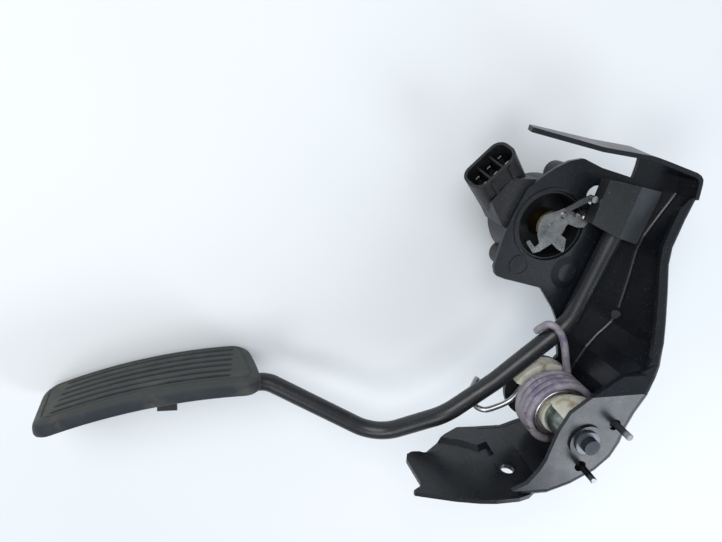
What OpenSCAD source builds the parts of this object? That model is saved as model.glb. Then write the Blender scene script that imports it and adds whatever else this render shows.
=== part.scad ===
// Accelerator pedal assembly with a lever-driven position sensor.
// It lies on its side: +Z runs along the pivot shaft towards the near lug,
// +X from the foot pad to the bracket, +Y from the pedal's back to the driver's side.
// The origin is the centre of the fixing hole in the foot. All sizes are millimetres.

/* [Bracket sheet] */
// Thickness of the pressed steel sheet
sheet_t = 2.3; // [1.8:0.1:3]
// Distance between the ear plate's near face and the near lug's near face
channel_w = 53; // [48:0.5:60]
// Height of the wall at the bracket's upper end
top_wall_h = 14; // [12:0.5:18]
// Outer radius of the fold between the wall and the near lug
lug_fold_r = 5; // [4:0.1:6]
// Outer radius of the fold between the wall and the narrow flange
flange_fold_r = 3.2; // [2.8:0.1:4]
// Outer radius of the fold between the ear plate and the walls
ear_fold_r = 4; // [3:0.1:5]
// Radius of the rounded corners of the ear plate
ear_corner_r = 3; // [2:0.5:4]
// Radius of the round window for the sensor in the ear plate
window_r = 18.5; // [16:0.25:20]
// Width of the raised rim round the sensor window
window_rim_w = 1.6; // [1:0.1:3]
// Height of the raised rim round the sensor window
window_rim_h = 0.6; // [0.3:0.1:0.65]
// Radius of the relief hole beside the sensor window
relief_r = 5.2; // [3:0.2:6]
// Radius of the fixing hole in the foot
foot_hole_r = 3.5; // [3:0.1:4.5]
// Depth of the stamped channel along the foot
bead_h = 2.2; // [1:0.1:3]
// Lean of the fixing tab away from the ear plate, in degrees
tab_lean = 12; // [6:1:15]

/* [Pivot] */
// Radius of the pivot shaft
shaft_r = 4; // [3.5:0.1:4.6]
// Length of shaft that stands out beyond the near lug
shaft_out = 6.2; // [5:0.1:10]
// Outer radius of the plain bushes between shaft and pivot tube
bush_r = 6; // [5.5:0.1:6.6]
// Outer radius of the plated pivot tube
tube_r = 9.6; // [8.5:0.1:10.2]
// Outer radius of the hub flange that the arm is welded to
hub_r = 19; // [18:0.1:19.2]
// Thickness of the hub flange
hub_t = 2.6; // [2:0.1:3]
// Radius of the raised collar round the shaft on the near lug
collar_r = 8.6; // [7.5:0.1:9.5]
// Height of the raised collar
collar_h = 1.2; // [0.8:0.1:1.8]
// Outer radius of the retaining clip
clip_r = 6.1; // [5.6:0.1:6.6]
// Thickness of the retaining clip
clip_t = 1.2; // [0.8:0.1:1.4]

/* [Springs] */
// Wire diameter of the outer return spring
outer_wire = 4; // [3.6:0.1:4.2]
// Mean radius of the outer return spring
outer_mean_r = 16.9; // [16.6:0.1:17]
// Turns of the outer return spring
outer_turns = 4; // [3:1:5]
// Wire diameter of the inner return spring
inner_wire = 3.2; // [2.6:0.1:3.4]
// Mean radius of the inner return spring
inner_mean_r = 12.9; // [12.5:0.1:13.1]
// Length of each spring end that stands out of the near lug
tang_out = 11; // [6:0.5:14]
// Outer radius of the far spring seat
seat_r = 19; // [18:0.1:19.2]
// Length of the far spring seat
far_seat_l = 8.4; // [7:0.1:8.8]

/* [Arm] */
// Radius of the arm rod
rod_r = 5; // [4.5:0.1:5.2]
// Gap between the rod and the ear plate's near face
rod_gap = 1.8; // [1.4:0.1:2.4]
// Sideways offset of the foot pad from the rod's upper part
pad_offset = 28.8; // [24:0.2:32]
// Thickness of the lever plate on the rod's upper end
shoe_t = 2.3; // [1.8:0.1:2.8]
// Depth of the lever plate's front lip
shoe_lip = 7; // [5:0.2:8]

/* [Foot pad] */
// Width of the foot pad
pad_w = 46; // [40:0.5:52]
// Radius of the pad's crowned face
pad_arc_r = 300; // [260:5:340]
// Thickness of the pad rubber at its rim
pad_t = 9.4; // [8:0.1:11]
// Thickness of the steel plate inside the pad
pad_plate_t = 2; // [1.6:0.1:2.6]
// Number of long grooves in the pad face
groove_n = 6; // [4:1:7]
// Width of one groove
groove_w = 2; // [1.2:0.1:2.6]
// Depth of one groove
groove_d = 1.3; // [0.6:0.1:1.8]

/* [Sensor] */
// Radius of the sensor housing
housing_r = 24; // [23:0.5:27]
// Depth of the sensor housing behind the ear plate
housing_l = 22; // [19:0.5:26]
// Thickness of the back cover
cover_t = 3; // [2:0.1:4]
// Radius of the open recess in front of the sensor
recess_r = 17.2; // [15:0.1:18]
// Depth of the open recess
recess_d = 15; // [11:0.5:16]
// Radius of the sensor shaft
sensor_shaft_r = 2.5; // [2:0.1:3]
// Thickness of the sensor lever sheet
lever_t = 0.9; // [0.6:0.1:1]
// Length of the sensor lever from its shaft to the prong
lever_l = 24.8; // [24:0.1:25.2]
// Long inside width of the connector mouth
socket_w = 24; // [21:0.5:26]
// Short inside width of the connector mouth
socket_h = 12.4; // [11:0.2:14]
// Wall of the connector shroud
socket_wall = 1.6; // [1.2:0.1:2]
// Depth of the connector mouth
socket_d = 15; // [12:0.5:16]
// Length of the connector shroud from its root
shroud_l = 24; // [21:0.5:27]
// Width of one terminal blade
blade_w = 2.2; // [1.6:0.1:2.6]
// Thickness of one terminal blade
blade_t = 0.7; // [0.5:0.1:1]

/* [Hidden] */
$fn = 64;
eps = 0.01;
run_gap = 0.05;
seat_gap = 0.3;
far = 300;

// Fixing hole of the foot, measured from the pivot axis at the ear plate's near face
foot_hole = [-27, -30, 33.4];
// Outer side of the wall that runs round the bracket, from its top corner to the foot
spine = [[64.5, 124], [64.5, 112], [61.6, 106.5], [58.3, 101], [51, 88], [48.8, 80], [48, 66],
    [46.9, 54], [45.5, 43], [43, 37.5], [39.8, 33.6], [35.5, 29.2], [30.5, 22], [26, 12.5], [23.2, 4],
    [21.9, -4], [18.3, -12.6], [10.8, -20.6], [-1.5, -27.8], [-14, -32.2], [-29, -32.25], [-41, -32.3]];
// Inner edge of the narrow flange and the lug, one point for each point of the wall from the second on
lug_inner = [[59, 111.8], [54.6, 107.6], [51.2, 102], [43.9, 88.8], [42, 80], [40.9, 66], [40, 54.9],
    [38.2, 43], [35.6, 37.2], [32, 34.2], [27.3, 32.3], [17.2, 31.2], [-1, 23.7], [-10.5, 15.5],
    [-14.8, 5.5], [-16.8, -3], [-18.4, -10.5], [-21, -16.4], [-26, -23.4], [-33.5, -27.2]];
// Upper wall and its tab from the tab's tip: outer near edge, level of the far edge, share of the lean
top_run = [[-32.5, 143.1, 9.6, 1], [-31, 142.8, 8.6, 1], [6, 135.6, 1, 1], [28, 133.1, 1, 1], [33, 132.5, 1, 0.5],
    [36.5, 131.8, -sheet_t, 0], [45, 129.5, -sheet_t, 0], [59.5, 125.4, -sheet_t, 0], [62.4, 124, -sheet_t, 0],
    [64.1, 122, -sheet_t, 0], [64.5, 119.5, -sheet_t, 0], [64.5, 111.6, -sheet_t, 0]];
ear_left = [[35, 119.7], [16, 124.3], [5, 128.6], [-2, 127.2], [-9, 123.6], [-16.1, 118.4], [-22.9, 112.5],
    [-28.4, 99.1], [-31.7, 88.7], [-35, 71], [-33.6, 66.4], [-28, 64.4], [-6.4, 59.2], [3.3, 46.5], [7.5, 39],
    [9, 30], [12, 18]];
foot_outline = [[-24, channel_w], [-30, channel_w + 1.6], [-42, channel_w + 1.8], [-50, channel_w + 0.8],
    [-62, channel_w - 2], [-80.5, channel_w - 8], [-80.8, channel_w - 9.4], [-76.8, 41], [-76, 38], [-78.4, 20],
    [-77, 16], [-74, 14.2], [-67.1, 14.4], [-50.6, 0.6], [-41.1, -5.2], [-17, -2 * sheet_t]];
bead_path = [[-66, 10.5], [-57, 8], [-46, 11.5], [-36, 18.5], [-27, 14.5], [-12, 6.5]];
bead_w = [5.4, 2.6];
wall_boss = [43.7, 43.4, -0.5];
foot_mark = [[5.1, -5.7], [2.6, -5.7], [5.4, 0]];
lug_r = 16;
emboss = [7, 68];
emboss_r = 9;

sensor_axis = [-7, 93.5];
screw_at = [[-21, 72], [4, 118]];
lever_z = window_rim_h + 0.15;
screw_r = 2.4;
prong_angle = 49;
prong_top = 10.6;
roller_at = lever_l - 2.8;
roller_r = 1.7;
fork_at = 10.6;
fork_slope = 37;
rivet_at = 8.3;
ball_at = [14.5, 6];
lever_outline = [[2.3, 8.6], [6.5, 10.5], [9, 9.2], [11.8, 7.2], [15.5, 9.3], [19.5, 9.8], [21, 6.5], [20.2, 2.8],
    [18.3, -0.1], [14.2, -0.2], [8.7, 1.7], [5.7, -4.1], [9.3, -6.5], [9.3, -14.3], [5.2, -11.9], [1.6, -9],
    [-4.7, -13.4], [-8.1, -14.4], [-13.2, -8.2], [-11.4, -7.2], [-7.7, -11], [-5.5, -9.1], [-7.4, -4.3], [-7.6, 1],
    [-5.5, 6]];

rod_z = rod_gap + rod_r;
pad_z = rod_z - pad_offset;
pad_centre = [-155, 9 - pad_arc_r];
pad_mid_z = pad_z;
clip_x = -208;
clip_drop = 9;
pad_outline = [[-267, pad_w / 2], [-153, pad_w / 2], [-163, -pad_w / 2], [-275, -pad_w / 2]];
pad_corner_r = 9;
pad_rim = 5;
pad_plate_r = pad_arc_r - 6;
// Height of the crowned layer of radius r over the pad's length
function pad_y(x, r) = pad_centre[1] + sqrt(r * r - pow(x - pad_centre[0], 2));
function under_pad(x) = pad_y(x, pad_plate_r - pad_plate_t) - rod_r - 0.2;

groove_span = [[-256, 1], [-166, 1]];
groove_band = pad_w - 11;
rod_points = [[-205, under_pad(-205), pad_z], [-151, under_pad(-151), pad_z], [-88.5, -34.5, rod_z - 15.5],
    [-54.3, -12.5, rod_z], [-28, 7, rod_z], [9.5, 41, rod_z], [27, 96, rod_z]];
rod_bends = [0, 16, 26, 40, 30, 22, 0];

shoe_z = rod_z + rod_r + 0.1;
shoe_corners = [[12, 120.3], [30.3, 117.4], [23.8, 90.9], [6.8, 98.4]];
wedge_corners = [[30.3, 117.4], [49, 113.8], [48.4, 109.6], [40.6, 85.8], [28, 89.8], [23.8, 90.9]];

hub_z = 0.6;
far_seat_z = hub_z + hub_t;
leg_z = rod_z + rod_r + outer_wire / 2 + seat_gap;
coil_z0 = leg_z;
coil_pitch = outer_wire + 0.2;
coil_z1 = coil_z0 + outer_turns * coil_pitch;
inner_turns = 6;
inner_z0 = far_seat_z + 5.5;
inner_z1 = coil_z1;
tang_outer_angle = 29;
tang_inner = [1, -15];
tang_hole_r = outer_wire / 2 + 1;
hook_angle = 50;
inner_leg_angle = 165;
tube_z0 = hub_z;
tube_z1 = channel_w - sheet_t - 0.4;
near_seat_z = coil_z1 + outer_wire / 2 + 0.2;
clip_z = channel_w + collar_h + run_gap;

shroud_root = [-29, 109, -16];
shroud_turn = 136;
shroud_rise = 32;

// Moves a shape from the pivot's own coordinates to the part's frame
module framed() translate([-foot_hole[0], -foot_hole[1], -foot_hole[2]]) children();

function unit(v) = v / norm(v);
function lerp(a, b, t) = a + (b - a) * t;

// Offsets an open line of points to its left by d, with mitred corners
function side_of(p, d) = [for (i = [0:len(p) - 1])
    let (a = unit(p[min(i + 1, len(p) - 1)] - p[min(i, len(p) - 2)]),
        b = unit(p[max(i, 1)] - p[max(i - 1, 0)]),
        n = unit([-(a[1] + b[1]), a[0] + b[0]]),
        k = d / (n * [-a[1], a[0]])) p[i] + n * k];
function reversed(p) = [for (i = [len(p) - 1:-1:0]) p[i]];

// Smooth curve through the points, with n steps between each two of them
function spline(p, n) = [for (i = [0:len(p) - 2], j = [0:n - 1])
    let (a = p[max(i - 1, 0)], b = p[i], c = p[i + 1], d = p[min(i + 2, len(p) - 1)], t = j / n)
    0.5 * (2 * b + (c - a) * t + (2 * a - 5 * b + 4 * c - d) * t * t
        + (3 * b - a - 3 * c + d) * t * t * t)];
function helix(r, z0, z1, a0, turns, n) = [for (i = [0:n])
    [r * cos(a0 + 360 * turns * i / n), r * sin(a0 + 360 * turns * i / n), lerp(z0, z1, i / n)]];

// Cross directions carried along a path without twist
function carried(t, u, i = 0) = i >= len(t) ? [] :
    let (v = unit(u - t[i] * (t[i] * u))) concat([v], carried(t, v, i + 1));

// Round wire swept along points
module wire(path, d, start = [1, 0, 0], sides = 8) {
    n = len(path);
    t = [for (i = [0:n - 1]) unit(path[min(i + 1, n - 1)] - path[max(i - 1, 0)])];
    u = carried(t, start);
    points = [for (i = [0:n - 1], k = [0:sides - 1]) path[i]
        + d / 2 * (cos(360 * k / sides) * u[i] + sin(360 * k / sides) * cross(u[i], t[i]))];
    faces = concat(
        [[for (k = [0:sides - 1]) k]],
        [for (i = [0:n - 2], k = [0:sides - 1])
            [i * sides + k, (i + 1) * sides + k, (i + 1) * sides + (k + 1) % sides, i * sides + (k + 1) % sides]],
        [[for (k = [sides - 1:-1:0]) (n - 1) * sides + k]]);
    polyhedron(points, faces, convexity = 6);
}

// Straight length of rod between two points
module bar(a, b, r) {
    d = b - a;
    translate(a) rotate([0, acos(d[2] / norm(d)), atan2(d[1], d[0])]) cylinder(h = norm(d), r = r);
}

// Centre line of a bent rod: straight lengths joined by arcs of the given bend radii
function bent_line(p, bends, n) = concat([p[0]],
    [for (i = [1:len(p) - 2])
        let (a = unit(p[i] - p[i - 1]), b = unit(p[i + 1] - p[i]), turn = acos(a * b),
            x = unit(a * (a * b) - b), c = p[i] - a * bends[i] * tan(turn / 2) - x * bends[i])
        for (k = [0:n]) c + bends[i] * (x * cos(turn * k / n) + a * sin(turn * k / n))],
    [p[len(p) - 1]]);

module rounded(r) offset(r = r) offset(delta = -r) children();
module at_sensor(z = 0) translate([sensor_axis[0], sensor_axis[1], z]) children();

// Prism along X whose section in Y and Z is the given polygon
module across_x(section) translate([-far, 0, 0]) rotate([90, 0, 90]) linear_extrude(2 * far) polygon(section);

module ear_shape() {
    inner = side_of(spine, -ear_fold_r);
    edge = side_of([for (q = top_run) [q[0], q[1]]], -1);
    rounded(ear_corner_r) polygon(concat(ear_left, [[9, 14]], [for (i = [14:-1:1]) inner[i]]));
    polygon(concat([inner[2], inner[1]], [for (i = [11:-1:5]) edge[i]], [[36, 126], ear_left[0]]));
    circle(lug_r);
    polygon(concat([[0, 0]], [for (i = [16:-1:13]) inner[i]]));
}

module bracket_plate() difference() {
    union() {
        translate([0, 0, -sheet_t]) linear_extrude(sheet_t) ear_shape();
        at_sensor(-eps) cylinder(h = window_rim_h + eps, r = window_r + window_rim_w);
        translate([emboss[0], emboss[1], -eps]) cylinder(h = 1.1, r1 = emboss_r, r2 = emboss_r - 4);
        translate([screw_at[0][0], screw_at[0][1], -eps]) difference() {
            cylinder(h = 0.4, r = 5.6);
            translate([0, 0, -1]) cylinder(h = 3, r = 4.6);
        }
    }
    at_sensor(-far / 2) cylinder(h = far, r = window_r);
    translate([15.5, 110, -far / 2]) cylinder(h = far, r = relief_r);
    translate([0, 0, -far / 2]) cylinder(h = far, r = shaft_r + run_gap);
    for (q = screw_at) translate([q[0], q[1], -far / 2]) cylinder(h = far / 2 - 0.8, r = screw_r);
}

// Cross-section of the folded sheet at point i of the wall: fold, wall, fold and flange
function fold_section(i) = let (
    n = len(spine), a = unit(spine[i] - spine[i - 1]), b = unit(spine[min(i + 1, n - 1)] - spine[min(i, n - 2)]),
    inward = unit([a[1] + b[1], -(a[0] + b[0])]), p = spine[i], e = lug_inner[i - 1],
    r = i < 9 ? flange_fold_r : i < 11 ? (flange_fold_r + lug_fold_r) / 2 : lug_fold_r, t = sheet_t,
    q = i < 17 ? ear_fold_r : t + 0.2, lip = i < 17 ? 1 : i == 17 ? 0.5 : 0.02,
    low = i < 17 ? -t : i == 17 ? -t - 1 : -2 * t, top = near_z(p[1]))
    concat([fold_point(p, inward, q + lip, low)],
        [for (k = [0:3]) let (w = 30 * k) fold_point(p, inward, q * (1 - cos(90 - w)), q * (1 - sin(90 - w)) + low)],
        [for (k = [0:4]) let (w = 22.5 * k) fold_point(p, inward, r * (1 - cos(w)), top - r * (1 - sin(w)))],
        [[e[0], e[1], near_z(e[1])], [e[0], e[1], near_z(e[1]) - t]],
        [for (k = [4:-1:0]) let (w = 22.5 * k) fold_point(p, inward, r - (r - t) * cos(w), top - r + (r - t) * sin(w))],
        [for (k = [3:-1:0]) let (w = 30 * k) fold_point(p, inward, q - (q - t) * cos(90 - w), q - (q - t) * sin(90 - w) + low)],
        [fold_point(p, inward, q + lip, low + t)]);
function fold_point(p, inward, u, z) = [p[0] + inward[0] * u, p[1] + inward[1] * u, z];
function near_z(y) = lookup(y, [[-99, channel_w], [26, channel_w], [40, channel_w - 14], [104, top_wall_h + 2],
    [111, top_wall_h], [199, top_wall_h]]);

// Surface through equal cross-sections, closed at both ends
module skin(sections) {
    n = len(sections);
    m = len(sections[0]);
    half = m / 2;
    polyhedron([for (c = sections, q = c) q], concat(
        [for (k = [0:half - 2]) for (f = [[k, k + 1, m - 1 - k], [k + 1, m - 2 - k, m - 1 - k]]) f],
        [for (i = [0:n - 2], k = [0:m - 1]) let (a = i * m, b = a + m, l = (k + 1) % m)
            for (f = [[a + k, b + k, b + l], [a + k, b + l, a + l]]) f],
        [for (k = [0:half - 2]) let (a = (n - 1) * m)
            for (f = [[a + k + 1, a + k, a + m - 1 - k], [a + m - 2 - k, a + k + 1, a + m - 1 - k]]) f]),
        convexity = 8);
}

// Wall, near lug and narrow flange: one sheet folded at both edges
module folded_wall() difference() {
    skin([for (i = [1:20]) fold_section(i)]);
    translate([0, 0, channel_w / 2]) cylinder(h = far, r = bush_r);
    rotate(tang_outer_angle) translate([outer_mean_r - 0.6, 0, channel_w / 2]) cylinder(h = far, r = tang_hole_r);
    translate([tang_inner[0] - 0.6, tang_inner[1], channel_w / 2]) cylinder(h = far, r = tang_hole_r);
}

// Channel stamped into the foot: tapered grooves that follow bead_path, from level y down
module bead(y, wide) translate([0, y, 0]) {
    w = bead_w + [wide, wide];
    for (i = [0:len(bead_path) - 2]) let (a = bead_path[i], d = bead_path[i + 1] - a)
        translate([a[0], 0, a[1]]) rotate([0, -atan2(d[1], d[0]), 0]) rotate([90, 0, 90])
            linear_extrude(norm(d)) polygon([[0, w[0]], [0, -w[0]], [-bead_h, -w[1]], [-bead_h, w[1]]]);
    for (q = bead_path) translate([q[0], 0, q[1]]) rotate([90, 0, 0])
        cylinder(h = bead_h, r1 = w[0] - 0.15, r2 = w[1] - 0.15);
}

// Foot: the wall runs on past the lug, with a stamped channel along its far side
module foot() difference() {
    union() {
        intersection() {
            across_x([[foot_hole[1], far], [foot_hole[1], -far], [foot_hole[1] - sheet_t, -far],
                [foot_hole[1] - sheet_t, far]]);
            foot_prism();
        }
        intersection() {
            translate([0, eps, 0]) bead(foot_hole[1] - sheet_t, 0.8);
            foot_prism();
        }
        for (k = [-1, 1]) translate([foot_hole[0], foot_hole[1] - 1, foot_hole[2]]) rotate([-90, 0, 0])
            linear_extrude(1.5) polygon([for (q = foot_mark) [k * q[0], -q[1]]]);
    }
    translate([0, eps, 0]) bead(foot_hole[1], 0);
}
module foot_prism() translate([0, far, 0]) rotate([90, 0, 0]) linear_extrude(2 * far)
    polygon(concat([[-17, channel_w - lug_fold_r]], foot_outline));

// Upper wall, from the tip of the fixing tab to the upper right corner
module top_wall() {
    outer = [for (q = top_run) [q[0], q[1]]];
    inner = side_of(outer, -sheet_t);
    skin([for (i = [0:len(outer) - 1]) let (far_z = top_run[i][2], n = inner[i] - outer[i],
        o = outer[i] - unit(n) * (top_wall_h - far_z) * tan(tab_lean * top_run[i][3]))
        [[o[0], o[1], far_z], [outer[i][0], outer[i][1], top_wall_h], [inner[i][0], inner[i][1], top_wall_h],
            [o[0] + n[0], o[1] + n[1], far_z]]]);
}

module bracket() color("#23262b") framed() difference() {
    union() {
        bracket_plate();
        folded_wall();
        top_wall();
        foot();
        translate(wall_boss) rotate([0, -45, 0]) cylinder(h = 3, r1 = 4.6, r2 = 2.6, $fn = 20);
    }
    translate([foot_hole[0], 0, foot_hole[2]]) rotate([90, 0, 0]) cylinder(h = far, r = foot_hole_r);
}

module pivot_shaft() color("#4b5058") framed() difference() {
    union() {
        translate([0, 0, -sheet_t - run_gap]) cylinder(h = channel_w + sheet_t + run_gap + shaft_out, r = shaft_r);
        translate([0, 0, -sheet_t - run_gap - 2.6]) cylinder(h = 2.6, r = shaft_r + 3);
    }
    translate([0, 0, clip_z]) difference() {
        cylinder(h = clip_t + 0.1, r = shaft_r + 1);
        translate([0, 0, -1]) cylinder(h = clip_t + 2, r = shaft_r - 0.6);
    }
}

module shaft_collar() color("#3a3e45") framed() difference() {
    union() {
        translate([0, 0, channel_w - sheet_t]) cylinder(h = sheet_t + collar_h, r = bush_r);
        translate([0, 0, channel_w]) cylinder(h = collar_h, r = collar_r);
    }
    cylinder(h = far, r = shaft_r + run_gap);
}

module shaft_clip() color("silver") framed() translate([0, 0, clip_z]) difference() {
    cylinder(h = clip_t, r = clip_r);
    translate([0, 0, -1]) cylinder(h = clip_t + 2, r = shaft_r - 0.5);
    rotate(-45) translate([0, -2.4, -1]) cube([clip_r + 2, 4.8, clip_t + 2]);
}

module return_spring_outer() color("#7d6f92") framed() {
    coil = helix(outer_mean_r, coil_z1, coil_z0, tang_outer_angle, outer_turns + (hook_angle - tang_outer_angle) / 360, 118);
    t0 = [outer_mean_r * cos(tang_outer_angle), outer_mean_r * sin(tang_outer_angle)];
    tang = spline([[t0[0], t0[1], channel_w + tang_out], [t0[0], t0[1], channel_w - 4],
        [t0[0], t0[1], coil_z1 + 9], [t0[0] + 0.2, t0[1] - 0.6, coil_z1 + 4]], 4);
    hook = spline([coil[118], [9, 18.5, leg_z], [4.6, 33, leg_z], [0.6, 40, leg_z - 1],
        [-3.5, 42.3, leg_z - 4], [-5.4, 37.7, leg_z - 9], [-5.2, 34.6, leg_z - 12.4]], 4);
    wire(concat(tang, [for (i = [1:117]) coil[i]], hook), outer_wire);
}

module return_spring_inner() color("#b9bcc0") framed() {
    turns = inner_turns + (inner_leg_angle - (-86) - 360) / 360;
    coil = helix(inner_mean_r, inner_z1, inner_z0, -86, turns, 130);
    tang = spline([[tang_inner[0], tang_inner[1], channel_w + tang_out], [tang_inner[0], tang_inner[1], channel_w - 5],
        [0.9, -14.2, inner_z1 + 7], [1.1, -13, inner_z1 + 3]], 4);
    leg = spline([coil[130], [-17.6, -4, inner_z0], [-25.3, -8.3, inner_z0 - 0.3], [-32, -10.8, rod_z],
        [-36.4, -9.4, rod_z - 4.4], [-36.8, -2.4, -1.2], [-34, 4.6, -2.2]], 4);
    wire(concat(tang, [for (i = [1:129]) coil[i]], leg), inner_wire);
}

module arm_rod() color("#2b2e33") framed() wire(bent_line(rod_points, rod_bends, 7), 2 * rod_r, [0, 0, 1], 20);

module hub_flange() color("#1f2226") framed() difference() {
    union() {
        translate([0, 0, hub_z]) linear_extrude(hub_t) {
            circle(hub_r);
        }
    }
    cylinder(h = far, r = tube_r, center = true);
    bar(rod_points[4] - [20, 18, 0], rod_points[5] + [20, 18, 0], rod_r + run_gap);
}

module pivot_tube() color("#8c9a92") framed() difference() {
    translate([0, 0, tube_z0]) cylinder(h = tube_z1 - tube_z0, r = tube_r);
    cylinder(h = far, r = bush_r, center = true);
}

module shaft_bushes() color("#d8d6c8") framed() for (z = [tube_z0, tube_z1 - 14])
    translate([0, 0, z]) difference() {
        cylinder(h = 14, r = bush_r);
        cylinder(h = far, r = shaft_r + run_gap, center = true);
    }

// Far seat: a spool with a cut-away quarter where the arm passes
module far_spring_seat() color("#dcdcd4") framed() difference() {
    union() {
        translate([0, 0, far_seat_z]) cylinder(h = far_seat_l, r = seat_r);
        translate([0, 0, far_seat_z]) cylinder(h = coil_z1 - far_seat_z, r = inner_mean_r - inner_wire / 2 - 0.3);
    }
    cylinder(h = far, r = tube_r, center = true);
    translate([0, 0, far_seat_z - 1]) linear_extrude(far_seat_l + 2)
        polygon([[-10, 4.6], [-30, 14], [-40, -30], [-6, -24], [-6, -9]]);
    bar(rod_points[4] - [20, 18, 0], rod_points[5] + [20, 18, 0], rod_r + seat_gap);
    translate([0, 0, far_seat_z + 3]) difference() {
        cylinder(h = far_seat_l, r = inner_mean_r + inner_wire / 2 + 0.3);
        cylinder(h = far_seat_l, r = inner_mean_r - inner_wire / 2 - 0.3);
    }
}

module near_spring_seat() color("#dcdcd4") framed() difference() {
    union() {
        translate([0, 0, near_seat_z]) cylinder(h = tube_z1 - near_seat_z, r = outer_mean_r - 3.4);
        translate([0, 0, near_seat_z + 5]) cylinder(h = tube_z1 - near_seat_z - 5, r = outer_mean_r - 1.2);
    }
    rotate(tang_outer_angle) translate([outer_mean_r, 0, 0]) cylinder(h = far, r = tang_hole_r);
    cylinder(h = far, r = tube_r, center = true);
    translate([0, 0, near_seat_z - 1]) linear_extrude(far)
        polygon([[-4, 6], [-30, 22], [-30, -40], [12, -40], [9, -9]]);
}

module lever_plate() color("#24272c") framed() {
    translate([0, 0, shoe_z]) linear_extrude(shoe_t) rounded(1) polygon(shoe_corners);
    lip = unit(shoe_corners[0] - shoe_corners[3]);
    across = [lip[1], -lip[0]];
    translate([0, 0, shoe_z - shoe_lip + shoe_t]) linear_extrude(shoe_lip)
        polygon([shoe_corners[3], shoe_corners[0], shoe_corners[0] + across * shoe_t,
            shoe_corners[3] + across * shoe_t]);
}

module stop_pad() color("#4b4f54") framed() difference() {
    side = unit(wedge_corners[0] - wedge_corners[5]);
    translate([0, 0, shoe_z + shoe_t - 10]) linear_extrude(10) rounded(1) polygon(wedge_corners);
    translate([wedge_corners[0][0], wedge_corners[0][1], shoe_z + shoe_t]) rotate([0, 0, -atan2(side[0], side[1])])
        rotate([0, 24, 0]) translate([-4, -far / 2, 0]) cube(far);
    bar(rod_points[5], rod_points[6] + (rod_points[6] - rod_points[5]), rod_r + seat_gap);
}

// Region of the foot pad between two radii of its crowned face
module pad_layer(r0, r1, inset) intersection() {
    translate([pad_centre[0], pad_centre[1], pad_mid_z - pad_w / 2]) difference() {
        cylinder(h = pad_w, r = r1, $fn = 180);
        translate([0, 0, -1]) cylinder(h = pad_w + 2, r = r0, $fn = 180);
    }
    translate([0, far, pad_mid_z]) rotate([90, 0, 0]) linear_extrude(2 * far)
        offset(delta = -inset) rounded(pad_corner_r) polygon(pad_outline);
}

module pad_plate() color("#2a2d31") framed() {
    pad_layer(pad_plate_r - pad_plate_t, pad_plate_r, pad_rim + 0.2);
    translate([clip_x, pad_y(clip_x, pad_plate_r - pad_plate_t) + 0.8 - clip_drop, pad_mid_z + pad_w / 2 - 11.5])
        cube([10, clip_drop, 2]);
}

module pad_rubber() color("#44484b") framed() difference() {
    pad_layer(pad_arc_r - pad_t, pad_arc_r, 0);
    pad_layer(pad_arc_r - pad_t - 1, pad_plate_r, pad_rim);
    for (k = [0:groove_n - 1]) intersection() {
        z = pad_mid_z - groove_band / 2 + groove_band * (k + 0.5) / groove_n;
        translate([pad_centre[0], pad_centre[1], z - groove_w / 2]) difference() {
            cylinder(h = groove_w, r = pad_arc_r + 1, $fn = 180);
            translate([0, 0, -1]) cylinder(h = groove_w + 2, r = pad_arc_r - groove_d, $fn = 180);
        }
        translate([groove_span[0][0], -60, pad_mid_z - pad_w]) cube([90, 120, 2 * pad_w]);
    }
}

module housing_shape(r) {
    at_sensor() circle(r);
    for (q = screw_at) translate(q) circle(6.5);
    rounded(2) polygon([[-25.2, 87.8], [-32.6, 92.6], [-40.5, 104.9], [-31, 117], [-14, 117], [-10, 90]]);
}

module sensor_housing() color("#1d1f22") framed() difference() {
    union() {
        translate([0, 0, -sheet_t - housing_l]) linear_extrude(housing_l) housing_shape(housing_r);
        at_sensor(-sheet_t - 1) cylinder(h = 1 + sheet_t - 0.6, r = window_r - 0.4);
        translate(shroud_root) rotate([0, 0, shroud_turn]) rotate([0, 90 - shroud_rise, 0]) shroud_body();
    }
    at_sensor(-sheet_t - 0.6 - recess_d + 2) cylinder(h = recess_d + 5, r = recess_r);
    at_sensor(-sheet_t - housing_l - 1) cylinder(h = housing_l + 2, r = sensor_shaft_r + run_gap);
    at_sensor(-sheet_t - housing_l - 1) cylinder(h = 5, r = 13);
    for (q = screw_at) translate([q[0], q[1], -far]) cylinder(h = far, r = screw_r);
    translate(shroud_root) rotate([0, 0, shroud_turn]) rotate([0, 90 - shroud_rise, 0])
        translate([0, 0, shroud_l - socket_d]) linear_extrude(far) socket_shape(0);
}

// Mouth of the connector: a long slot with round ends, its long side across the shroud
module socket_shape(grow) {
    w = socket_w + 2 * grow;
    h = socket_h + 2 * grow;
    rounded(4.5 + grow) square([h, w], center = true);
}

module shroud_body() {
    linear_extrude(shroud_l) socket_shape(socket_wall);
    for (y = [-5.5, 5.5]) translate([-socket_h / 2 - socket_wall - 1.2, y - 1, shroud_l - 12]) cube([2, 2, 11]);
}

module in_socket() framed() translate(shroud_root) rotate([0, 0, shroud_turn]) rotate([0, 90 - shroud_rise, 0])
    translate([0, 0, shroud_l - socket_d]) children();

module connector_divider() color("#141517") in_socket()
    for (y = [-socket_w / 6, socket_w / 6]) translate([-socket_h / 2 + 0.2, y - 0.5, 0]) cube([socket_h - 0.4, 1, socket_d - 3]);

module sensor_terminals() color("#b8bcc0") in_socket()
    for (y = [-socket_w / 3 + 0.6, 0, socket_w / 3 - 0.6], x = [-2.8, 2.8])
        translate([x - blade_t / 2, y - blade_w / 2, 0]) cube([blade_t, blade_w, socket_d - 5]);

module sensor_back_cover() color("#26282b") framed()
    translate([0, 0, -sheet_t - housing_l - cover_t]) linear_extrude(cover_t) difference() {
        offset(delta = -1) housing_shape(housing_r);
        for (q = screw_at) translate(q) circle(6);
    }

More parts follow.
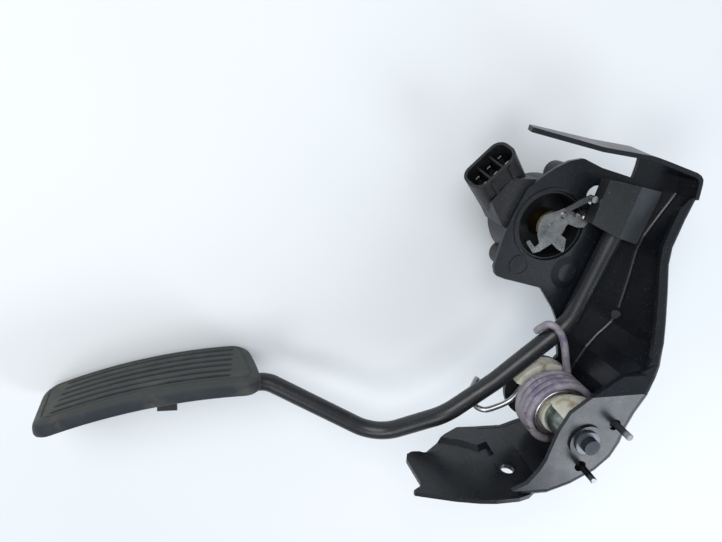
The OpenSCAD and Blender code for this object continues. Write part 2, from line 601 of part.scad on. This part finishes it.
module sensor_screws() color("#8d9196") framed() for (q = screw_at)
    translate([q[0], q[1], -sheet_t - housing_l]) {
        cylinder(h = housing_l + sheet_t - 0.9, r = screw_r);
        difference() {
            translate([0, 0, -3]) cylinder(h = 3, r = 4.6);
            translate([0, 0, -3 - eps]) cylinder(h = 1.6, r = 2.2, $fn = 6);
        }
    }

module sensor_shaft() color("#c4c7ca") framed() at_sensor(-sheet_t - housing_l + 1.2)
    cylinder(h = sheet_t + housing_l - 1.2 + lever_z, r = sensor_shaft_r);

module sensor_rotor() color("#3a3d30") framed() at_sensor(-sheet_t - housing_l + 0.4) difference() {
    cylinder(h = 3.2, r = 11);
    translate([0, 0, 0.8]) cylinder(h = far, r = sensor_shaft_r);
}

// Sensor lever: folded sheet with a broad vane, two turned-down tails and a raised fork
module sensor_lever() color("#a9abad") framed() at_sensor(lever_z) difference() {
    union() {
        linear_extrude(lever_t) rounded(0.8) polygon(lever_outline);
        rotate(prong_angle) translate([fork_at, -0.4, 0]) rotate([0, -fork_slope, 0])
            cube([(roller_at + 0.4 - fork_at) / cos(fork_slope), 3, lever_t]);
        rotate(226) translate([14.4 - lever_t, -2.2, -4]) cube([lever_t, 4.4, 4 + lever_t]);
        rotate(303) translate([12.6 - lever_t, -1.8, -6]) cube([lever_t, 3.6, 6 + lever_t]);
    }
    rotate(prong_angle) translate([roller_at, 0, 2]) cylinder(h = far, r = roller_r + run_gap);
}

module lever_rivet() color("#d4d6d8") framed() at_sensor(lever_z + lever_t) {
    cylinder(h = 0.5, r = 1.7);
    rotate(prong_angle) translate([rivet_at, 0, 0]) cylinder(h = 0.8, r1 = 2, r2 = 1.2);
    translate([ball_at[0], ball_at[1], 0]) {
        cylinder(h = 3.4, r = 1.1);
        translate([0, 0, 3.4]) sphere(r = 1.8);
    }
}

// Roller pin in the fork that the lever plate's lip runs against
module lever_roller() color("#c8cacc") framed() at_sensor(lever_z + lever_t)
    rotate(prong_angle) translate([roller_at, 0, prong_top - 4.4]) cylinder(h = 4.4, r = roller_r);

module lever_spring() color("#8a7448") framed() at_sensor() difference() {
    translate([0, 0, -9.4]) cylinder(h = 9.4 + lever_z - 0.1, r = 8.2);
    translate([0, 0, -10]) cylinder(h = 12, r = 6.6);
    for (k = [0:4]) translate([0, 0, -8.8 + 1.6 * k]) difference() {
        cylinder(h = 0.6, r = 9);
        cylinder(h = 0.6, r = 7.8);
    }
}

bracket();
pivot_shaft();
shaft_collar();
shaft_clip();
return_spring_outer();
return_spring_inner();
arm_rod();
hub_flange();
pivot_tube();
shaft_bushes();
far_spring_seat();
near_spring_seat();
lever_plate();
stop_pad();
pad_plate();
pad_rubber();
sensor_housing();
sensor_back_cover();
connector_divider();
sensor_terminals();
sensor_screws();
sensor_shaft();
sensor_rotor();
sensor_lever();
lever_rivet();
lever_roller();
lever_spring();
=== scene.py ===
"""Accelerator pedal on a pale table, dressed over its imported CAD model.

Sizes are millimetres in the pivot's coordinates (origin on the pivot axis at the ear
plate's near face, +Z towards the camera); P() turns them into metres in the part's frame.
"""
from math import cos, hypot, pi, radians, sin, sqrt, tan

import bpy
import bmesh
from mathutils import Matrix, Vector


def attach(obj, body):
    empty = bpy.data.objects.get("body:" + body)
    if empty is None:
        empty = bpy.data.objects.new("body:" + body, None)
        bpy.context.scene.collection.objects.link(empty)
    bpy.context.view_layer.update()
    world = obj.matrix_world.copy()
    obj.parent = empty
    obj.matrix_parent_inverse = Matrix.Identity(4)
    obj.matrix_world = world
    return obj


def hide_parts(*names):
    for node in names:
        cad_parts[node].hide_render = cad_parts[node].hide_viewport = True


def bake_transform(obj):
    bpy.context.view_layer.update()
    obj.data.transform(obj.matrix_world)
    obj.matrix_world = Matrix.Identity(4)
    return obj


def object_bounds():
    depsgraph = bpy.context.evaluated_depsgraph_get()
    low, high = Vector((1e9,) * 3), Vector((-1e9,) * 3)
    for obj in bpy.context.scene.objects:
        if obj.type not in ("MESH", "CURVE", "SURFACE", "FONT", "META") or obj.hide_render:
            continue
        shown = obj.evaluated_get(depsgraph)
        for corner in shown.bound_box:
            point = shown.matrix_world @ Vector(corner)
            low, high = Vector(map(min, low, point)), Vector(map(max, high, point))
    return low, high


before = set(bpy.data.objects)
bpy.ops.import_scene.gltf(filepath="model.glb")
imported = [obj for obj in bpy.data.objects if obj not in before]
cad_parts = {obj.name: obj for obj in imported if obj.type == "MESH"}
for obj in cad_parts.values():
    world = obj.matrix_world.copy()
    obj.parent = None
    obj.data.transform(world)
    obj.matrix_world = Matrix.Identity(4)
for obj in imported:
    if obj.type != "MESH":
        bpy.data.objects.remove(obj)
cad_low, cad_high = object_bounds()

MM = 0.001
FOOT_HOLE = Vector((-27.0, -30.0, 33.4))


def P(x, y, z):
    """Point in the pivot's coordinates, mm, as a vector in the part's frame, m."""
    return (Vector((x, y, z)) - FOOT_HOLE) * MM


# ---------------------------------------------------------------- shader helpers


def srgb(r, g, b):
    """8-bit colour as seen, to the linear colour that a shader takes."""
    def lin(c):
        c /= 255.0
        return c / 12.92 if c <= 0.04045 else ((c + 0.055) / 1.055) ** 2.4
    return (lin(r), lin(g), lin(b), 1.0)


def grey(v):
    return (v, v, v, 1.0)


def new_material(name):
    m = bpy.data.materials.new(name)
    m.use_nodes = True
    return m, m.node_tree.nodes, m.node_tree.links, m.node_tree.nodes["Principled BSDF"]


def noise(nodes, links, scale, detail=3.0, rough=0.6):
    """Noise in object space; scale is in cycles a metre."""
    coord = nodes.new("ShaderNodeTexCoord")
    tex = nodes.new("ShaderNodeTexNoise")
    tex.inputs["Scale"].default_value = scale
    tex.inputs["Detail"].default_value = detail
    tex.inputs["Roughness"].default_value = rough
    links.new(coord.outputs["Object"], tex.inputs["Vector"])
    return tex.outputs["Fac"]


def ramp(nodes, links, fac, stops):
    r = nodes.new("ShaderNodeValToRGB")
    el = r.color_ramp.elements
    while len(el) < len(stops):
        el.new(0.5)
    for e, (pos, col) in zip(el, stops):
        e.position = pos
        e.color = col
    links.new(fac, r.inputs["Fac"])
    return r.outputs["Color"]


def band(nodes, links, value, lo, hi):
    """0 below lo and 1 above hi, eased in between."""
    n = nodes.new("ShaderNodeMapRange")
    n.interpolation_type = "SMOOTHSTEP"
    n.inputs["From Min"].default_value = lo
    n.inputs["From Max"].default_value = hi
    links.new(value, n.inputs["Value"])
    return n.outputs["Result"]


def mix(nodes, links, fac, a, b):
    n = nodes.new("ShaderNodeMix")
    n.data_type = "RGBA"
    for i, v in ((0, fac), (6, a), (7, b)):
        if isinstance(v, bpy.types.NodeSocket):
            links.new(v, n.inputs[i])
        else:
            n.inputs[i].default_value = v
    return n.outputs[2]


# Masks: each returns a function that adds its nodes and gives a 0 to 1 value


def patches(scale, lo, hi, detail=4.0):
    """Soft-edged patches; scale is in cycles a metre, and more of the surface is left bare as lo rises."""
    return lambda nodes, links: band(nodes, links, noise(nodes, links, scale, detail), lo, hi)


def along(axis, start_mm, end_mm):
    """Rises from start to end along one axis of the pivot's coordinates."""
    def add(nodes, links):
        coord = nodes.new("ShaderNodeTexCoord")
        split = nodes.new("ShaderNodeSeparateXYZ")
        links.new(coord.outputs["Object"], split.inputs["Vector"])
        a, b = [(v - FOOT_HOLE[axis]) * MM for v in (start_mm, end_mm)]
        value = band(nodes, links, split.outputs[axis], min(a, b), max(a, b))
        if a < b:
            return value
        flip = nodes.new("ShaderNodeMath")
        flip.operation = "SUBTRACT"
        flip.inputs[0].default_value = 1.0
        links.new(value, flip.inputs[1])
        return flip.outputs["Value"]
    return add


def facing_up(lo, hi):
    """Rises as the surface turns to the driver's side, +Y."""
    def add(nodes, links):
        coord = nodes.new("ShaderNodeTexCoord")
        split = nodes.new("ShaderNodeSeparateXYZ")
        links.new(coord.outputs["Normal"], split.inputs["Vector"])
        return band(nodes, links, split.outputs["Y"], lo, hi)
    return add


def attribute(name):
    """The value that the mesh carries under this name."""
    def add(nodes, links):
        n = nodes.new("ShaderNodeAttribute")
        n.attribute_name = name
        return n.outputs["Fac"]
    return add


def both(first, second):
    """1 where both masks are."""
    def add(nodes, links):
        n = nodes.new("ShaderNodeMath")
        n.operation = "MULTIPLY"
        links.new(first(nodes, links), n.inputs[0])
        links.new(second(nodes, links), n.inputs[1])
        return n.outputs["Value"]
    return add


def surface(name, base, tint, rough, metallic=0.0, grain=900.0, grain_depth=0.00004,
            bump_strength=0.25, blotch=45.0, specular=0.5, layers=()):
    """Painted, plated or moulded surface: blotchy colour, uneven sheen, a fine grain, and layers that add
    wear and dust, and on the pad also painted light and shade.

    layers are (mask, colour) pairs laid over each other.
    """
    m, nodes, links, s = new_material(name)
    s.inputs["Metallic"].default_value = metallic
    s.inputs["Specular IOR Level"].default_value = specular
    colour = ramp(nodes, links, noise(nodes, links, blotch, 4.0), [(0.35, base), (0.68, tint)])
    for mask, over in layers:
        colour = mix(nodes, links, mask(nodes, links), colour, over)
    links.new(colour, s.inputs["Base Color"])
    uneven = noise(nodes, links, blotch * 3.1, 5.0)
    links.new(ramp(nodes, links, uneven, [(0.3, grey(rough[0])), (0.7, grey(rough[1]))]),
              s.inputs["Roughness"])
    b = nodes.new("ShaderNodeBump")
    b.inputs["Strength"].default_value = bump_strength
    b.inputs["Distance"].default_value = grain_depth
    links.new(noise(nodes, links, grain, 2.0), b.inputs["Height"])
    links.new(b.outputs["Normal"], s.inputs["Normal"])
    return m


# ---------------------------------------------------------------- materials

GREASE = srgb(82, 73, 56)
DUST = srgb(92, 94, 96)
TANG_FROM_Z, TANG_TO_Z = 47.5, 49.5
TIP_FROM_Z, TIP_TO_Z = 60.0, 62.0

dust_specks = (patches(1500.0, 0.70, 0.74, 1.0), DUST)
paint = surface("bracket_paint", srgb(17, 20, 25), srgb(22, 26, 32), (0.24, 0.36), grain=700.0, blotch=30.0,
                layers=[(patches(60.0, 0.60, 0.80), srgb(30, 34, 41)), dust_specks])
rod_paint = surface("rod_paint", srgb(24, 26, 29), srgb(34, 36, 40), (0.28, 0.40), grain=600.0,
                    layers=[dust_specks])
hub_paint = surface("hub_paint", srgb(17, 19, 22), srgb(26, 28, 31), (0.35, 0.5), layers=[dust_specks])
pad_finish = surface("pad_rubber", srgb(38, 43, 51), srgb(46, 51, 58), (0.60, 0.75), grain=1500.0,
                     grain_depth=0.00008, bump_strength=0.4, specular=0.35,
                     # painted light: where the pad faces +Y, on its top, the rubber is coloured lighter than
                     # on its sides
                     layers=[(facing_up(0.35, 0.8), srgb(61, 64, 62)),
                             (patches(55.0, 0.50, 0.75), srgb(74, 76, 72)),
                             (both(both(along(0, -236.0, -262.0), facing_up(0.5, 0.9)),
                                   patches(120.0, 0.42, 0.66)), srgb(80, 78, 70)),
                             # painted shade: the pad's grooves are coloured darker by the groove share that
                             # the mesh carries
                             (attribute("groove"), srgb(33, 35, 38))])
stop_rubber = surface("stop_rubber", srgb(54, 59, 63), srgb(68, 72, 77), (0.6, 0.72), grain=1400.0,
                      specular=0.35, layers=[dust_specks])
plastic = surface("housing_plastic", srgb(19, 20, 22), srgb(27, 29, 31), (0.42, 0.55), grain=2200.0,
                  layers=[dust_specks])
nylon = surface("nylon", srgb(218, 217, 207), srgb(194, 190, 172), (0.35, 0.5), blotch=70.0,
                layers=[(patches(110.0, 0.52, 0.72), srgb(150, 132, 96))])
purple = surface("purple_wire", srgb(126, 120, 130), srgb(158, 153, 160), (0.30, 0.46), blotch=160.0,
                 layers=[(patches(75.0, 0.46, 0.60), srgb(110, 99, 124)),
                         (patches(140.0, 0.56, 0.68), GREASE),
                         (along(2, TANG_FROM_Z, TANG_TO_Z), srgb(50, 52, 57)),
                         (along(2, TIP_FROM_Z, TIP_TO_Z), srgb(138, 140, 143))])
inner_wire = surface("inner_wire", srgb(150, 151, 154), srgb(190, 191, 193), (0.24, 0.36), metallic=0.9,
                     blotch=120.0,
                     layers=[(patches(130.0, 0.55, 0.72), GREASE),
                             (along(2, TANG_FROM_Z, TANG_TO_Z), srgb(62, 64, 68)),
                             (along(2, TIP_FROM_Z, TIP_TO_Z), srgb(128, 130, 133))])
bright_wire = surface("bright_wire", srgb(176, 178, 182), srgb(206, 208, 210), (0.22, 0.34), metallic=1.0,
                      blotch=120.0)
steel = surface("turned_steel", srgb(104, 108, 115), srgb(138, 142, 148), (0.3, 0.45), metallic=1.0)
shaft_steel = surface("oiled_shaft_steel", srgb(46, 49, 54), srgb(62, 66, 71), (0.40, 0.55), metallic=0.6)
clip_steel = surface("clip_steel", srgb(96, 99, 104), srgb(124, 127, 132), (0.38, 0.52), metallic=0.7)
zinc = surface("zinc_plate", srgb(118, 134, 126), srgb(160, 172, 164), (0.25, 0.38), metallic=1.0,
               layers=[(patches(90.0, 0.55, 0.72), srgb(186, 194, 186))])
nickel = surface("nickel_silver", srgb(122, 123, 123), srgb(152, 153, 152), (0.20, 0.34), metallic=1.0,
                 blotch=90.0, layers=[(patches(140.0, 0.62, 0.76), srgb(84, 80, 72))])
terminal = surface("terminal_tin", srgb(190, 192, 194), srgb(220, 222, 224), (0.2, 0.3), metallic=1.0)
brassy = surface("brassy_wire", srgb(92, 80, 62), srgb(124, 110, 86), (0.28, 0.4), metallic=1.0)

FINISH = {
    "bracket": paint, "pivot_shaft": shaft_steel, "shaft_collar": paint, "shaft_clip": clip_steel,
    "return_spring_outer": purple, "return_spring_inner": inner_wire, "arm_rod": rod_paint,
    "hub_flange": hub_paint, "pivot_tube": zinc, "shaft_bushes": nylon, "far_spring_seat": nylon,
    "near_spring_seat": nylon, "lever_plate": hub_paint, "stop_pad": stop_rubber, "pad_plate": hub_paint,
    "pad_rubber": pad_finish, "sensor_housing": plastic, "sensor_back_cover": plastic,
    "connector_divider": plastic, "sensor_terminals": terminal, "sensor_screws": steel,
    "sensor_shaft": bright_wire, "sensor_rotor": plastic, "sensor_lever": nickel, "lever_rivet": nickel,
    "lever_roller": bright_wire, "lever_spring": brassy,
}
BEVEL_FROM_DEG = 32
BEVEL_MM = {
    "bracket": 0.5, "pivot_shaft": 0.4, "shaft_collar": 0.4, "hub_flange": 0.4, "lever_plate": 0.5,
    "stop_pad": 0.8, "sensor_housing": 0.8, "sensor_back_cover": 0.6, "far_spring_seat": 0.5,
    "near_spring_seat": 0.5, "sensor_lever": 0.15, "sensor_terminals": 0.15, "lever_roller": 0.3,
    "sensor_screws": 0.3,
}



def dress(node, material, width_mm):
    o = bpy.data.objects[node]
    for i in range(max(1, len(o.material_slots))):
        if i < len(o.material_slots):
            o.material_slots[i].material = material
        else:
            o.data.materials.append(material)
    if width_mm:
        mod = o.modifiers.new("edges", "BEVEL")
        mod.width = width_mm * MM
        mod.segments = 3
        mod.limit_method = "ANGLE"
        mod.angle_limit = radians(BEVEL_FROM_DEG)
        mod.use_clamp_overlap = True


for node_name, finish in FINISH.items():
    dress(node_name, finish, BEVEL_MM.get(node_name, 0))

# ---------------------------------------------------------------- mesh helpers


def make_piece(name, points, faces, material, sharp_deg):
    """Smooth-shaded object from points in the pivot's mm, sharp where it turns more than sharp_deg."""
    mesh = bpy.data.meshes.new(name)
    mesh.from_pydata([P(*p) for p in points], [], faces)
    bm = bmesh.new()
    bm.from_mesh(mesh)
    bmesh.ops.recalc_face_normals(bm, faces=bm.faces)
    bm.to_mesh(mesh)
    bm.free()
    mesh.polygons.foreach_set("use_smooth", [True] * len(mesh.polygons))
    mesh.set_sharp_from_angle(angle=radians(sharp_deg))
    mesh.materials.append(material)
    o = bpy.data.objects.new(name, mesh)
    bpy.context.collection.objects.link(o)
    return o


def tube(name, path, radius_at, sides, chamfer, material):
    """Round bar that follows a path, with chamfered flat ends; radius_at gives mm at a point."""
    path = [Vector(p) for p in path]
    last = len(path) - 1
    tangents = [(path[min(i + 1, last)] - path[max(i - 1, 0)]).normalized() for i in range(last + 1)]
    rings = []
    for i, (p, t) in enumerate(zip(path, tangents)):
        r = radius_at(p)
        if i == 0:
            rings += [(p, t, r - chamfer), (p + t * chamfer, t, r)]
        elif i == last:
            rings += [(p - t * chamfer, t, r), (p, t, r - chamfer)]
        else:
            rings.append((p, t, r))
    side = rings[0][1].orthogonal().normalized()
    points, faces = [], []
    for p, t, r in rings:
        side = (side - t * side.dot(t)).normalized()
        other = t.cross(side)
        points += [p + (side * cos(2 * pi * k / sides) + other * sin(2 * pi * k / sides)) * r
                   for k in range(sides)]
    for i in range(len(rings) - 1):
        a, b = i * sides, (i + 1) * sides
        faces += [(a + k, a + (k + 1) % sides, b + (k + 1) % sides, b + k) for k in range(sides)]
    faces.append(tuple(range(sides)))
    faces.append(tuple(range((len(rings) - 1) * sides, len(rings) * sides)))
    return make_piece(name, points, faces, material, 40)


def helix(radius, z_start, z_end, start_deg, turns, steps):
    """Points along a coil on the pivot's axis, turning anticlockwise as the camera sees it."""
    return [Vector((radius * cos(radians(start_deg + 360 * turns * i / steps)),
                    radius * sin(radians(start_deg + 360 * turns * i / steps)),
                    z_start + (z_end - z_start) * i / steps)) for i in range(steps + 1)]


def spline(corners, steps, keep_last=False):
    """Smooth curve through the corners; the last one is left to the next stretch."""
    c = [Vector(p) for p in corners]
    c = [c[0] * 2 - c[1]] + c + [c[-1] * 2 - c[-2]]
    out = []
    for i in range(1, len(c) - 2):
        p0, p1, p2, p3 = c[i - 1:i + 3]
        for k in range(steps):
            t = k / steps
            out.append(0.5 * (2 * p1 + (p2 - p0) * t + (2 * p0 - 5 * p1 + 4 * p2 - p3) * t * t
                              + (3 * p1 - p0 - 3 * p2 + p3) * t ** 3))
    return out + ([c[-2]] if keep_last else [])


def bent_line(corners, bends, steps):
    """Straight runs through the corners, each corner turned at its own bend radius."""
    c = [Vector(p) for p in corners]
    out = [c[0]]
    for i in range(1, len(c) - 1):
        before, after = (c[i - 1] - c[i]).normalized(), (c[i + 1] - c[i]).normalized()
        turn = pi - before.angle(after)
        reach = bends[i] * tan(turn / 2)
        middle = (before + after).normalized()
        centre = c[i] + middle * (bends[i] / cos(turn / 2))
        start, end = c[i] + before * reach - centre, c[i] + after * reach - centre
        for k in range(steps + 1):
            f = k / steps
            out.append(centre + (start * sin((1 - f) * turn) + end * sin(f * turn)) / sin(turn))
    return out + [c[-1]]


# ---------------------------------------------------------------- pedal rod

ROD_R = 5.0
ROD_CORNERS = [(-205, -8.51, -22), (-151, -4.23, -22), (-88.5, -34.5, -8.7), (-54.3, -12.5, 6.8),
               (-28, 7, 6.8), (9.5, 41, 6.8), (27, 96, 6.8)]
ROD_BENDS = [0, 16, 26, 40, 30, 22, 0]
rod = tube("pedal_rod", bent_line(ROD_CORNERS, ROD_BENDS, 14), lambda p: ROD_R,
           48, 0.6, rod_paint)
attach(rod, "pedal_arm")
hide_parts("arm_rod")

# ---------------------------------------------------------------- return springs

OUTER_R, OUTER_WIRE = 16.9, 4.0
INNER_R, INNER_WIRE = 12.9, 3.2
COIL_TOP, OUTER_COIL_END, INNER_COIL_END = 30.9, 14.1, 8.7
COIL_STEPS = 230
SPLINE_STEPS = 8

outer_coil = helix(OUTER_R, COIL_TOP, OUTER_COIL_END, 29, 4 + 21 / 360, COIL_STEPS)
ox, oy, _ = outer_coil[0]
outer_path = (spline([(ox, oy, 64), (ox, oy, 49), (ox, oy, 39.9), (ox + 0.2, oy - 0.6, 34.9)], SPLINE_STEPS)
              + outer_coil[1:-1]
              + spline([outer_coil[-1], (9, 18.5, 14.1), (4.6, 33, 14.1), (0.6, 40, 13.1), (-3.5, 42.3, 10.1),
                        (-5.4, 37.7, 5.1), (-5.2, 34.6, 1.7)], SPLINE_STEPS, keep_last=True))
inner_coil = helix(INNER_R, COIL_TOP, INNER_COIL_END, -86, 6 + (165 + 86 - 360) / 360, COIL_STEPS)
inner_path = (spline([(1, -15, 64), (1, -15, 48), (0.9, -14.2, 37.9), (1.1, -13, 33.9)], SPLINE_STEPS)
              + inner_coil[1:-1]
              + spline([inner_coil[-1], (-17.6, -4, 8.7), (-25.3, -8.3, 8.4), (-32, -10.8, 6.8),
                        (-36.4, -9.4, 2.4), (-36.8, -2.4, -1.2), (-34, 4.6, -2.2)],
                       SPLINE_STEPS, keep_last=True))

SPRING_SIDES, SPRING_CHAMFER = 16, 0.3
TANG_R, TANG_NARROW_Z = 1.7, 50.0
# Levels on the pivot's axis: a spring's end at the lug lies above the first, and its end at the arm below the
# second
BEND_FROM_Z, BEND_TO_OUTER_Z, BEND_TO_INNER_Z = 48, 14, 9
for name, path, wire, material, node, end_z in (
        ("outer_spring", outer_path, OUTER_WIRE, purple, "return_spring_outer", BEND_TO_OUTER_Z),
        ("inner_spring", inner_path, INNER_WIRE, inner_wire, "return_spring_inner", BEND_TO_INNER_Z)):
    narrow = min(TANG_R, wire / 2)
    spring = tube(name, path, lambda p, w=wire / 2, n=narrow: n if p.z > TANG_NARROW_Z else w,
                  SPRING_SIDES, SPRING_CHAMFER, material)
    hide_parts(node)
    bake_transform(spring)

# ---------------------------------------------------------------- rubber foot pad

PAD_FAR_Z, PAD_NEAR_Z = -45.0, 1.0
PAD_LEFT_X = (-275.0, -267.0)
PAD_RIGHT_X = (-163.0, -153.0)
PAD_BULGE, PAD_CORNER_R = 1.2, 10.0
CROWN_X, CROWN_Y, CROWN_R, UNDER_R = -155.0, -291.0, 300.0, 294.0
EDGE_W, EDGE_DROP = 5.0, 4.2
FRAME_AT, FRAME_DEPTH = 5.2, 0.7
GROOVE_Z = [-36.6 + 5.84 * k for k in range(6)]
GROOVE_X = (-258.0, -171.0)
GROOVE_W, GROOVE_DEPTH, GROOVE_DEPTH_LEFT = 2.4, 1.4, 0.55
# The pad's side, from its edge to its underside: depth under the crown and inset, mm
UNDER_INSET = 5.0
RIM = [(5.5, 0.0), (7.0, 0.0), (8.2, 0.5), (9.0, 1.4), (9.4, 2.4), (9.4, UNDER_INSET)]
PAD_MID, PAD_HALF = (PAD_FAR_Z + PAD_NEAR_Z) / 2, (PAD_NEAR_Z - PAD_FAR_Z) / 2


def pad_sides(z):
    """Straight left and right edge of the pad at a level z, without its corners."""
    t = (z - PAD_FAR_Z) / (PAD_NEAR_Z - PAD_FAR_Z)
    left = PAD_LEFT_X[0] + (PAD_LEFT_X[1] - PAD_LEFT_X[0]) * t
    right = PAD_RIGHT_X[0] + (PAD_RIGHT_X[1] - PAD_RIGHT_X[0]) * t
    return left, right + PAD_BULGE * (1 - ((z - PAD_MID) / PAD_HALF) ** 2)


def pad_place(z, share, inset):
    """Point at a share of the way from the left to the right edge, of the outline drawn in by inset."""
    half = PAD_HALF - inset
    z = PAD_MID + (z - PAD_MID) * half / PAD_HALF
    left, right = pad_sides(z)
    r = PAD_CORNER_R - inset
    over = max(0.0, abs(z - PAD_MID) - (half - r))
    pull = inset + r - sqrt(max(0.0, r * r - over * over))
    return left + pull + (right - left - 2 * pull) * share, z


def crown(x, r):
    """Level of the pad's arched surface of radius r at x."""
    return CROWN_Y + sqrt(r * r - (x - CROWN_X) ** 2)


def ease(value, lo, hi):
    """0 below lo and 1 above hi, eased in between."""
    t = min(1.0, max(0.0, (value - lo) / (hi - lo)))
    return t * t * (3 - 2 * t)


def pad_top(x, z):
    """Depth under the crown at a point, and how much of it is groove."""
    left, right = pad_sides(z)
    qx = max(left + PAD_CORNER_R - x, x - (right - PAD_CORNER_R))
    qz = abs(z - PAD_MID) - (PAD_HALF - PAD_CORNER_R)
    inside = PAD_CORNER_R - hypot(max(qx, 0), max(qz, 0)) - min(max(qx, qz), 0)
    slope = min(1.0, max(0.0, 1 - inside / EDGE_W))
    depth = EDGE_DROP * (1 - sqrt(1 - slope * slope))
    depth += FRAME_DEPTH * (1 - ease(abs(inside - FRAME_AT), 0.2, 0.9))
    beyond = max(GROOVE_X[0] - x, x - GROOVE_X[1], 0)
    away = min(hypot(beyond, z - g) for g in GROOVE_Z)
    share = 1 - ease(away, GROOVE_W * 0.25, GROOVE_W * 0.55)
    full = GROOVE_DEPTH_LEFT + (GROOVE_DEPTH - GROOVE_DEPTH_LEFT) * ease(x, -262, -225)
    return depth + full * share, share


def spread(count, edge_share):
    """0 to 1 in steps that are finer at both ends."""
    return [edge_share * (0.5 - 0.5 * cos(pi * i / count)) + (1 - edge_share) * i / count
            for i in range(count + 1)]


pad_rows = [PAD_FAR_Z + (PAD_NEAR_Z - PAD_FAR_Z) * t for t in spread(130, 0.85)]
for g in GROOVE_Z:
    for step in (-0.55, -0.25, 0.25, 0.55):
        if min(abs(z - g - step * GROOVE_W) for z in pad_rows) > 0.12:
            pad_rows.append(g + step * GROOVE_W)
pad_rows.sort()
pad_columns = spread(120, 0.6)
nr, nc = len(pad_rows), len(pad_columns)

pad_points, pad_groove_shade = [], []
for z in pad_rows:
    for share in pad_columns:
        x, zz = pad_place(z, share, 0.0)
        depth, groove = pad_top(x, zz)
        pad_points.append((x, crown(x, CROWN_R) - depth, zz))
        pad_groove_shade.append(groove)


def grid_faces(first):
    """Squares of one pad surface whose points start at first, row by row."""
    return [(first + i * nc + j, first + i * nc + j + 1,
             first + (i + 1) * nc + j + 1, first + (i + 1) * nc + j)
            for i in range(nr - 1) for j in range(nc - 1)]


pad_faces = grid_faces(0)
edge_loop = ([(0, j) for j in range(nc)] + [(i, nc - 1) for i in range(1, nr)]
             + [(nr - 1, j) for j in range(nc - 2, -1, -1)] + [(i, 0) for i in range(nr - 2, 0, -1)])
above = [i * nc + j for i, j in edge_loop]
for drop, inset in RIM:
    here = []
    for i, j in edge_loop:
        x, zz = pad_place(pad_rows[i], pad_columns[j], inset)
        here.append(len(pad_points))
        pad_points.append((x, crown(x, CROWN_R) - drop, zz))
    pad_faces += [(above[k], above[(k + 1) % len(above)], here[(k + 1) % len(here)], here[k])
                  for k in range(len(here))]
    above = here
under_first = len(pad_points)
for z in pad_rows:
    for share in pad_columns:
        x, zz = pad_place(z, share, UNDER_INSET)
        pad_points.append((x, crown(x, UNDER_R), zz))
pad_faces += grid_faces(under_first)
here = [under_first + i * nc + j for i, j in edge_loop]
pad_faces += [(above[k], above[(k + 1) % len(above)], here[(k + 1) % len(here)], here[k])
              for k in range(len(here))]

pad = make_piece("foot_pad", pad_points, pad_faces, pad_finish, 60)
# the groove share is kept on the mesh to paint shade into the pad's grooves
groove_shade_layer = pad.data.attributes.new("groove", "FLOAT", "POINT")
groove_shade_layer.data.foreach_set("value", pad_groove_shade + [0.0] * (len(pad_points) - len(pad_groove_shade)))
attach(pad, "pedal_arm")
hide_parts("pad_rubber")

# ---------------------------------------------------------------- table, light and camera

FLOOR_DROP_MM = 1.0
bpy.ops.mesh.primitive_plane_add(size=6.0, location=(0, 0, cad_low[2] - FLOOR_DROP_MM * MM))
table = bpy.context.object
table.name = "table"
m, nodes, links, s = new_material("table_top")
s.inputs["Roughness"].default_value = 0.7
links.new(ramp(nodes, links, noise(nodes, links, 3.0, 2.0),
               [(0.3, srgb(236, 240, 243)), (0.7, srgb(243, 245, 247))]), s.inputs["Base Color"])
table.data.materials.append(m)

world = bpy.data.worlds.new("room")
bpy.context.scene.world = world
world.use_nodes = True
world.node_tree.nodes["Background"].inputs["Color"].default_value = srgb(232, 240, 248)
world.node_tree.nodes["Background"].inputs["Strength"].default_value = 0.45


def area_light(name, at, aim, size, power, colour=(1, 1, 1)):
    data = bpy.data.lights.new(name, "AREA")
    data.size = size
    data.energy = power
    data.color = colour
    o = bpy.data.objects.new(name, data)
    o.location = at
    o.rotation_euler = (Vector(aim) - Vector(at)).to_track_quat("-Z", "Y").to_euler()
    bpy.context.collection.objects.link(o)
    return o


area_light("window", (-0.5, 0.75, 1.0), (0, 0, 0), 0.8, 9.0)
area_light("fill", (-0.7, -0.3, 1.1), (0, 0, 0), 0.6, 4.5)
area_light("softbox", (0.42, -0.28, 0.40), P(0, 0, 53), 0.3, 1.6, (0.87, 0.93, 1.0))

# The camera looks down at the table from the upper left, as the photograph does
EYE = P(-156.32, 154.79, 251.45)
RIGHT = Vector((0.98218, 0.0608, 0.17781))
UP = Vector((0.0, 0.94621, -0.32356))
FOCAL_PX = 542.0
IMAGE_W_PX = 722.0
camera_data = bpy.data.cameras.new("camera")
camera_data.sensor_width = 36.0
camera_data.lens = FOCAL_PX / IMAGE_W_PX * 36.0
camera_data.clip_start = 0.01
camera = bpy.data.objects.new("camera", camera_data)
bpy.context.collection.objects.link(camera)
right = RIGHT.normalized()
up = (UP - right * UP.dot(right)).normalized()
back = right.cross(up)
camera.matrix_world = Matrix((
    (right.x, up.x, back.x, EYE.x), (right.y, up.y, back.y, EYE.y),
    (right.z, up.z, back.z, EYE.z), (0, 0, 0, 1)))
bpy.context.scene.camera = camera
bpy.context.scene.view_settings.view_transform = "Standard"
